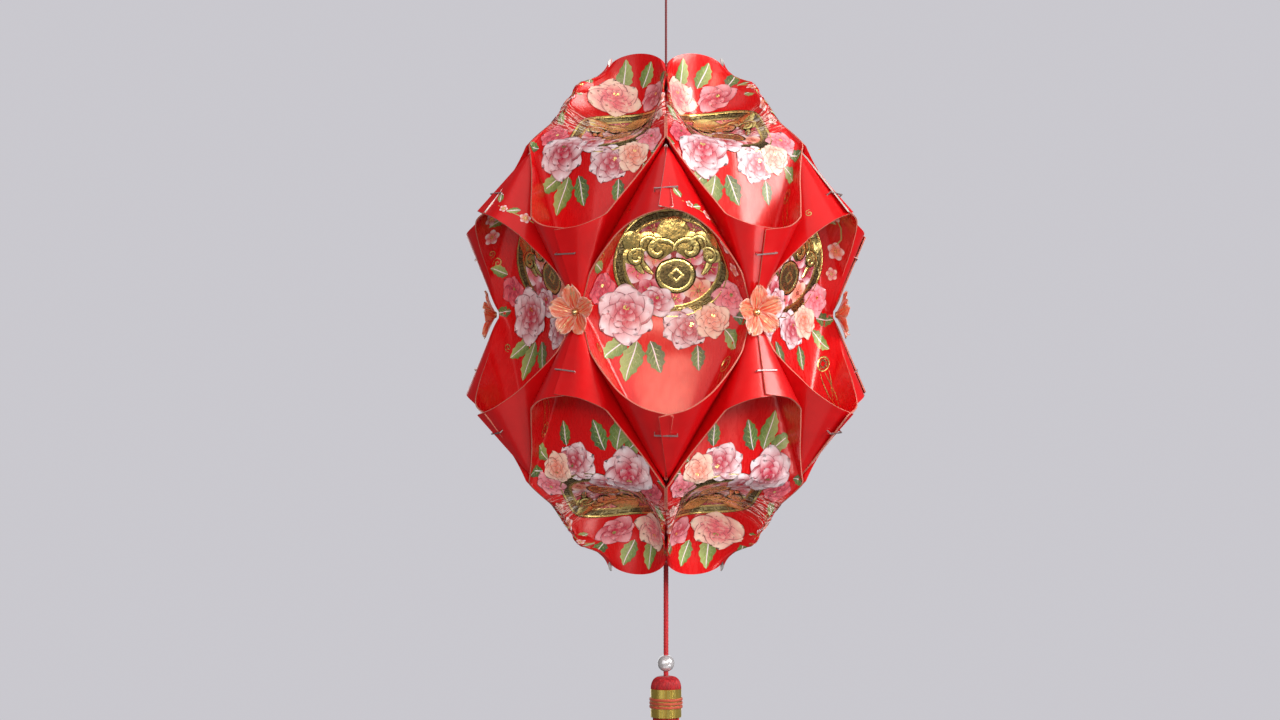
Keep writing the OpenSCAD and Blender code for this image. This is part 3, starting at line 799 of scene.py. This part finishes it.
class Nodes:
    """A short way to write a material's node tree."""

    def __init__(self, name):
        self.material = bpy.data.materials.new(name)
        self.material.use_nodes = True
        self.tree = self.material.node_tree
        self.tree.nodes.clear()
        self.out = self.tree.nodes.new("ShaderNodeOutputMaterial")

    def add(self, kind, inputs=None, **props):
        node = self.tree.nodes.new(kind)
        for key, value in props.items():
            setattr(node, key, value)
        for key, value in (inputs or {}).items():
            self.set(node.inputs[key], value)
        return node

    def set(self, socket, value):
        if isinstance(value, bpy.types.NodeSocket):
            self.tree.links.new(value, socket)
        elif isinstance(value, tuple) and len(value) == 3 and socket.type == "RGBA":
            socket.default_value = (*value, 1)
        else:
            socket.default_value = value

    def math(self, op, a, b=0.0, clamp=False):
        return self.add("ShaderNodeMath", {0: a, 1: b}, operation=op, use_clamp=clamp).outputs[0]

    def attribute(self, name, output="Vector"):
        return self.add("ShaderNodeAttribute", attribute_name=name).outputs[output]

    def scale(self, vector, by):
        return self.add("ShaderNodeVectorMath", {0: vector, 1: by}, operation="MULTIPLY").outputs[0]

    def noise(self, vector, scale, detail=3.0, rough=0.55):
        inputs = {"Vector": vector, "Scale": scale, "Detail": detail, "Roughness": rough}
        return self.add("ShaderNodeTexNoise", inputs).outputs["Fac"]

    def ramp(self, value, low, high, to_low=0.0, to_high=1.0):
        node = self.add("ShaderNodeMapRange", {0: value, 1: low, 2: high, 3: to_low, 4: to_high})
        return node.outputs[0]

    def mix(self, share, a, b, blend="MIX"):
        node = self.add("ShaderNodeMix", data_type="RGBA", blend_type=blend)
        self.set(node.inputs[0], share)
        self.set(node.inputs[6], a)
        self.set(node.inputs[7], b)
        return node.outputs[2]

    def bump(self, height, strength, distance, normal=None):
        inputs = {"Height": height, "Strength": strength, "Distance": distance}
        if normal is not None:
            inputs["Normal"] = normal
        return self.add("ShaderNodeBump", inputs).outputs[0]

    def principled(self, **inputs):
        node = self.add("ShaderNodeBsdfPrincipled", {k.replace("_", " "): v for k, v in inputs.items()})
        self.tree.links.new(node.outputs[0], self.out.inputs[0])
        return node


def paper_bump(n, flat):
    """Slow ripples from handling, and fine paper tooth."""
    ripple = n.noise(n.scale(flat, (0.045, 0.02, 1)), 1.0, 2.0)
    dents = n.noise(n.scale(flat, (0.16, 0.06, 1)), 1.0, 2.0)
    tooth = n.noise(flat, 2.2, 2.0)
    creases = n.noise(n.scale(flat, (0.05, 0.42, 0.2)), 1.0, 4.0, 0.6)
    weight = n.add("ShaderNodeSeparateXYZ", {0: flat}).outputs[2]
    slow = n.bump(ripple, 0.55, 1.6 * MM)
    mid = n.bump(dents, 0.30, 0.5 * MM, slow)
    sharp = n.bump(n.math("MULTIPLY", creases, weight), 0.9, 2.2 * MM, mid)
    return n.bump(tooth, 0.06, 0.05 * MM, sharp)


def cracks_and_crease_shade(n, flat, colour):
    """Fine pale lines where the fold has cracked the print, and painted shade: thin dark lines along the
    creases of the fold.
    """
    weight = n.add("ShaderNodeSeparateXYZ", {0: flat}).outputs[2]
    field = n.noise(n.scale(flat, (0.03, 0.26, 0.2)), 1.0, 5.0, 0.68)
    pale = n.ramp(n.math("ABSOLUTE", n.math("SUBTRACT", field, 0.5)), 0.022, 0.004)
    # painted shade: thin dark red lines along the creases of the fold
    deep = n.ramp(n.math("ABSOLUTE", n.math("SUBTRACT", field, 0.56)), 0.026, 0.004)
    share = n.ramp(weight, 0.15, 0.75)
    colour = n.mix(n.math("MULTIPLY", deep, share), colour, (0.26, 0.03, 0.02))
    return n.mix(n.math("MULTIPLY", pale, share), colour, (0.93, 0.78, 0.72))


def coated_paper(name, base, deep, rough):
    n = Nodes(name)
    flat = n.attribute("flat")
    blotch = n.ramp(n.noise(flat, 0.05), 0.35, 0.68)
    grain = n.ramp(n.noise(flat, 1.3, 4.0), 0.3, 0.7)
    colour = n.mix(n.math("MULTIPLY", blotch, 0.5), base, deep)
    colour = cracks_and_crease_shade(n, flat, n.mix(n.math("MULTIPLY", grain, 0.10), colour, deep))
    scuff = n.ramp(n.noise(n.scale(flat, (0.5, 0.12, 1)), 1.0, 4.0), 0.45, 0.75, rough, rough + 0.13)
    n.principled(
        Base_Color=colour,
        Roughness=scuff,
        Specular_IOR_Level=0.62,
        Specular_Tint=(1.0, 0.42, 0.36),
        Coat_Weight=0.30,
        Coat_Roughness=0.15,
        Normal=paper_bump(n, flat),
    )
    return n.material


def paper_edge():
    n = Nodes("paper_edge")
    flat = n.attribute("flat")
    fibre = n.ramp(n.noise(flat, 1.6, 4.0), 0.35, 0.65)
    near_end = n.math("GREATER_THAN", n.add("ShaderNodeSeparateXYZ", {0: flat}).outputs[1], 168.5)
    side = n.mix(fibre, (0.66, 0.24, 0.17), (0.42, 0.08, 0.06))
    colour = n.mix(near_end, side, (0.74, 0.70, 0.67))
    n.principled(Base_Color=colour, Roughness=0.7, Normal=n.bump(fibre, 0.2, 0.1 * MM))
    return n.material


def ink():
    n = Nodes("printed_ink")
    flat = n.attribute("flat")
    wash = n.ramp(n.noise(flat, 0.45, 4.0, 0.62), 0.3, 0.72)
    vein = n.ramp(n.noise(n.scale(flat, (1.5, 0.6, 1)), 1.0, 3.0), 0.4, 0.62)
    colour = n.attribute("Ink", "Color")
    dark = n.mix(1.0, colour, (0.84, 0.56, 0.60), "MULTIPLY")
    colour = n.mix(n.math("MULTIPLY", wash, 0.40), colour, dark)
    colour = n.mix(n.math("MULTIPLY", vein, 0.10), colour, (0.92, 0.84, 0.82))
    colour = cracks_and_crease_shade(n, flat, colour)
    n.principled(
        Base_Color=colour,
        Roughness=0.36,
        Specular_Tint=(1.0, 0.72, 0.70),
        Coat_Weight=0.10,
        Coat_Roughness=0.12,
        Normal=paper_bump(n, flat),
    )
    return n.material


def foil():
    n = Nodes("gold_foil")
    flat = n.attribute("flat")
    colour = n.attribute("Ink", "Color")
    grime = n.ramp(n.noise(flat, 0.9, 4.0, 0.65), 0.42, 0.70)
    fine = n.noise(flat, 3.2, 2.0)
    dents = n.noise(n.scale(flat, (0.35, 0.22, 1)), 1.0, 2.0)
    cells = n.add("ShaderNodeTexVoronoi", {"Vector": flat, "Scale": 1.1}).outputs["Distance"]
    worn = n.mix(1.0, colour, (0.55, 0.42, 0.30), "MULTIPLY")
    colour = cracks_and_crease_shade(n, flat, n.mix(n.math("MULTIPLY", grime, 0.5), colour, worn))
    relief = n.bump(cells, 0.10, 0.10 * MM)
    waves = n.bump(dents, 0.45, 1.0 * MM, relief)
    n.principled(
        Base_Color=colour,
        Metallic=1.0,
        Roughness=n.ramp(grime, 0, 1, 0.24, 0.42),
        Normal=n.bump(fine, 0.12, 0.10 * MM, waves),
    )
    return n.material


def petal_film():
    """Translucent coral film with pale rims and gold streaks along each petal."""
    n = Nodes("coral_film")
    flat = n.attribute("flat")
    parts = n.add("ShaderNodeSeparateXYZ", {0: flat})
    inks = n.add("ShaderNodeSeparateColor", {0: n.attribute("Ink", "Color")})
    along, rim = inks.outputs[0], inks.outputs[1]
    streak = n.noise(n.scale(flat, (1.3, 0.13, 3.7)), 1.0, 3.0)
    vein = n.ramp(streak, 0.46, 0.55)
    fleck = n.ramp(n.noise(n.scale(flat, (0.8, 0.4, 1.3)), 1.0, 4.0), 0.50, 0.58)
    colour = n.mix(n.ramp(along, 0.1, 0.9), (0.78, 0.04, 0.018), (0.90, 0.17, 0.075))
    colour = n.mix(n.math("MULTIPLY", vein, 0.5), colour, (0.96, 0.50, 0.30))
    pale = n.math("MULTIPLY", rim, n.ramp(n.noise(flat, 0.5, 3.0), 0.38, 0.58))
    colour = n.mix(n.math("MULTIPLY", pale, 0.85), colour, (0.98, 0.80, 0.70))
    middle = n.ramp(n.math("ABSOLUTE", parts.outputs[0]), 3.4, 0.3)
    gold = n.math("MULTIPLY", n.math("MULTIPLY", vein, fleck), n.ramp(parts.outputs[1], 2.0, 5.0), clamp=True)
    gold = n.math("MULTIPLY", gold, middle)
    colour = n.mix(gold, colour, (0.98, 0.74, 0.38))
    relief = n.bump(streak, 0.7, 0.8 * MM)
    body = n.add(
        "ShaderNodeBsdfPrincipled",
        {
            "Base Color": colour,
            "Roughness": 0.24,
            "Coat Weight": 0.3,
            "Metallic": n.math("MULTIPLY", gold, 0.8),
            "Normal": relief,
        },
    )
    glow = n.add("ShaderNodeBsdfTranslucent", {"Color": colour, "Normal": relief})
    both = n.add("ShaderNodeMixShader", {0: 0.25, 1: body.outputs[0], 2: glow.outputs[0]})
    n.tree.links.new(both.outputs[0], n.out.inputs[0])
    return n.material


def object_place(n):
    return n.scale(n.add("ShaderNodeTexCoord").outputs["Object"], (1 / MM, 1 / MM, 1 / MM))


def thread(name, base, deep, scale=(2.2, 2.2, 2.2), sheen=0.4):
    n = Nodes(name)
    at = object_place(n)
    fibres = n.noise(n.scale(at, scale), 1.0, 4.0, 0.6)
    colour = n.mix(n.ramp(fibres, 0.35, 0.65), deep, base)
    n.principled(
        Base_Color=colour,
        Roughness=0.58,
        Sheen_Weight=sheen,
        Sheen_Roughness=0.4,
        Normal=n.bump(fibres, 0.5, 0.15 * MM),
    )
    return n.material


def gold_sleeve():
    """Gold foil drawn over the tassel's head, in fine lengthwise lines."""
    n = Nodes("gold_sleeve_foil")
    at = object_place(n)
    lines = n.noise(n.scale(at, (1.5, 1.5, 0.03)), 1.0, 3.0)
    stain = n.ramp(n.noise(n.scale(at, (0.3, 0.3, 0.16)), 1.0, 4.0), 0.4, 0.7)
    colour = n.mix(n.ramp(lines, 0.35, 0.62), (0.62, 0.40, 0.06), (1.0, 0.80, 0.20))
    colour = n.mix(n.math("MULTIPLY", stain, 0.3), colour, (0.60, 0.36, 0.08))
    n.principled(
        Base_Color=colour,
        Metallic=0.85,
        Roughness=n.ramp(lines, 0.3, 0.7, 0.30, 0.18),
        Normal=n.bump(lines, 0.5, 0.25 * MM),
    )
    return n.material


def pearl():
    n = Nodes("silver_pearl")
    at = object_place(n)
    # painted shade: the pearl's colour turns from pale grey in its middle to dark grey toward its outline, by
    # how far it faces away from view
    facing = n.add("ShaderNodeLayerWeight", {"Blend": 0.35}).outputs["Facing"]
    cloud = n.ramp(n.noise(at, 0.25), 0.35, 0.7)
    colour = n.mix(facing, (0.78, 0.77, 0.80), (0.42, 0.40, 0.43))
    colour = n.mix(n.math("MULTIPLY", cloud, 0.3), colour, (0.80, 0.70, 0.72))
    n.principled(
        Base_Color=colour,
        Metallic=0.45,
        Roughness=0.2,
        Coat_Weight=0.8,
        Coat_Roughness=0.06,
        Normal=n.bump(n.noise(at, 1.4), 0.05, 0.1 * MM),
    )
    return n.material


def metal(name, base, rough, scale=1.5):
    n = Nodes(name)
    at = object_place(n)
    scratch = n.noise(n.scale(at, (scale, scale, scale)), 1.0, 4.0)
    n.principled(
        Base_Color=n.mix(n.ramp(scratch, 0.35, 0.7), base, tuple(0.7 * c for c in base)),
        Metallic=1.0,
        Roughness=n.ramp(scratch, 0.3, 0.7, rough, rough + 0.15),
        Normal=n.bump(scratch, 0.15, 0.1 * MM),
    )
    return n.material


def give(node, material):
    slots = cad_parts[node].data.materials
    slots.clear()
    slots.append(material)


# Camera, light and the plain wall colour

VIEW_DISTANCE = 1.5
VIEW_WIDTH = 0.680
VIEW_HEIGHT = -(HANG_H + 24) * MM
AXIS_PIXEL = 666
PHOTO_WIDTH = 1280


def camera():
    data = bpy.data.cameras.new("camera")
    data.sensor_width = 36
    data.lens = 36 * VIEW_DISTANCE / VIEW_WIDTH
    data.shift_x = (PHOTO_WIDTH / 2 - AXIS_PIXEL) / PHOTO_WIDTH
    cam = bpy.data.objects.new("camera", data)
    cam.location = (0, -VIEW_DISTANCE, VIEW_HEIGHT)
    cam.rotation_euler = (math.radians(90), 0, 0)
    bpy.context.scene.collection.objects.link(cam)
    bpy.context.scene.camera = cam


def area_light(name, at, towards, size, power, colour=(1, 1, 1)):
    data = bpy.data.lights.new(name, "AREA")
    data.shape = "RECTANGLE"
    data.size, data.size_y = size
    data.energy = power
    data.color = colour
    lamp = bpy.data.objects.new(name, data)
    lamp.location = at
    way = np.array(towards) - np.array(at)
    lamp.rotation_euler = Vector(way).to_track_quat("-Z", "Y").to_euler()
    bpy.context.scene.collection.objects.link(lamp)


def light():
    middle = (0, 0, -HANG_H * MM)
    area_light("window", (1.06, -0.42, 0.28), middle, (0.42, 0.66), 15.5, (1.0, 0.985, 0.97))
    area_light("room", (-0.9, -1.3, 0.15), middle, (1.2, 1.4), 6.6, (0.95, 0.97, 1.0))
    area_light("front", (0.0, -1.42, 0.07), middle, (1.0, 0.22), 8.6, (1.0, 0.84, 0.68))
    area_light("beside", (0.7, -1.3, 0.5), middle, (0.8, 0.8), 4.8)
    area_light("ceiling", (0.1, -0.2, 1.2), middle, (1.4, 1.2), 5)
    area_light("floor", (0.0, -0.7, -1.4), middle, (1.4, 1.0), 2.5)
    area_light("table", (0.75, -0.62, -0.78), middle, (0.3, 0.3), 1.8)
    area_light("wall_bounce", (-0.2, 1.5, 0.1), middle, (1.6, 1.6), 9)
    world = bpy.data.worlds.new("wall")
    bpy.context.scene.world = world
    world.use_nodes = True
    tree = world.node_tree
    tree.nodes.clear()
    out = tree.nodes.new("ShaderNodeOutputWorld")
    room = tree.nodes.new("ShaderNodeBackground")
    wall = tree.nodes.new("ShaderNodeBackground")
    pick = tree.nodes.new("ShaderNodeMixShader")
    path = tree.nodes.new("ShaderNodeLightPath")
    room.inputs[0].default_value = (0.62, 0.62, 0.64, 1)
    room.inputs[1].default_value = 0.20
    wall.inputs[0].default_value = (0.59, 0.58, 0.62, 1)
    tree.links.new(path.outputs["Is Camera Ray"], pick.inputs[0])
    tree.links.new(room.outputs[0], pick.inputs[1])
    tree.links.new(wall.outputs[0], pick.inputs[2])
    tree.links.new(pick.outputs[0], out.inputs[0])


def declare_cords(thread_red, cord_red):
    hang_low = KNOT_Z + KNOT_R - KNOT_FLAT
    hang_top = HANG_H - LOOP_LOW - LOOP_KNOT_R
    piece, path = twisted_cord("hanging_thread_plies", hang_top, hang_low, THREAD_D, 2.6, thread_red, 2)
    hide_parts("hanging_thread")
    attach(piece, "root")
    cord_top = KNOT_Z - KNOT_R + KNOT_FLAT
    cord_low = -SKIRT_TOP - CORD_TAIL
    piece, path = twisted_cord("tassel_cord_plies", cord_top, cord_low, CORD_D, 5.2, cord_red, 3)
    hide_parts("tassel_cord")
    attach(piece, "root")
    return piece, path, (cord_top - cord_low) * MM


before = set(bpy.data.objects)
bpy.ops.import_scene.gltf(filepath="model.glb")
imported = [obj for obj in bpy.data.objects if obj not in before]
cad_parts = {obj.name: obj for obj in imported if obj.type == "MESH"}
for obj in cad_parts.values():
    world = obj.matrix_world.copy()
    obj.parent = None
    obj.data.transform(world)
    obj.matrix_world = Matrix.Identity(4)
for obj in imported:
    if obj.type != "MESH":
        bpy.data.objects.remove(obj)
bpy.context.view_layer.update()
camera()
bpy.context.scene.view_settings.view_transform = "Standard"

thread_red = thread("dark_red_thread", (0.24, 0.012, 0.018), (0.10, 0.004, 0.008))
cord_red = thread("red_cord_fibre", (0.62, 0.010, 0.018), (0.34, 0.005, 0.01), (2.0, 2.0, 2.0))
strand_red = thread("red_strand", (0.56, 0.006, 0.012), (0.26, 0.002, 0.006), (1.0, 1.0, 0.12), 0.12)
cord, cord_path, cord_length = declare_cords(thread_red, cord_red)
tassel = strands([strand_red])
band_thread = bands(thread("copper_red_thread", (0.70, 0.11, 0.04), (0.24, 0.015, 0.010), (1.6, 1.6, 4.0)))
light()

paper = [
    coated_paper("red_face", (0.66, 0.003, 0.005), (0.50, 0.001, 0.003), 0.26),
    coated_paper("red_back", (0.64, 0.003, 0.006), (0.48, 0.001, 0.003), 0.33),
    paper_edge(),
    ink(),
    foil(),
]
prints = (face_print(), back_print())
for kind in ("equator", "upper", "lower"):
    for number in range(1, COUNT + 1):
        packet(kind, number, prints, paper)
film = petal_film()
for number in range(1, COUNT + 1):
    blossom(number, film)

gold_bead = metal("gold_bead_coat", (0.80, 0.55, 0.27), 0.16)
for number in range(1, COUNT + 1):
    give(f"blossom_bead_{number}", gold_bead)
give("staples", metal("staple_wire_plate", (0.50, 0.40, 0.40), 0.46))
give("hanging_loop", thread_red)
give("support_knot", cord_red)
give("pearl_bead", pearl())
give("tassel_sleeve", gold_sleeve())
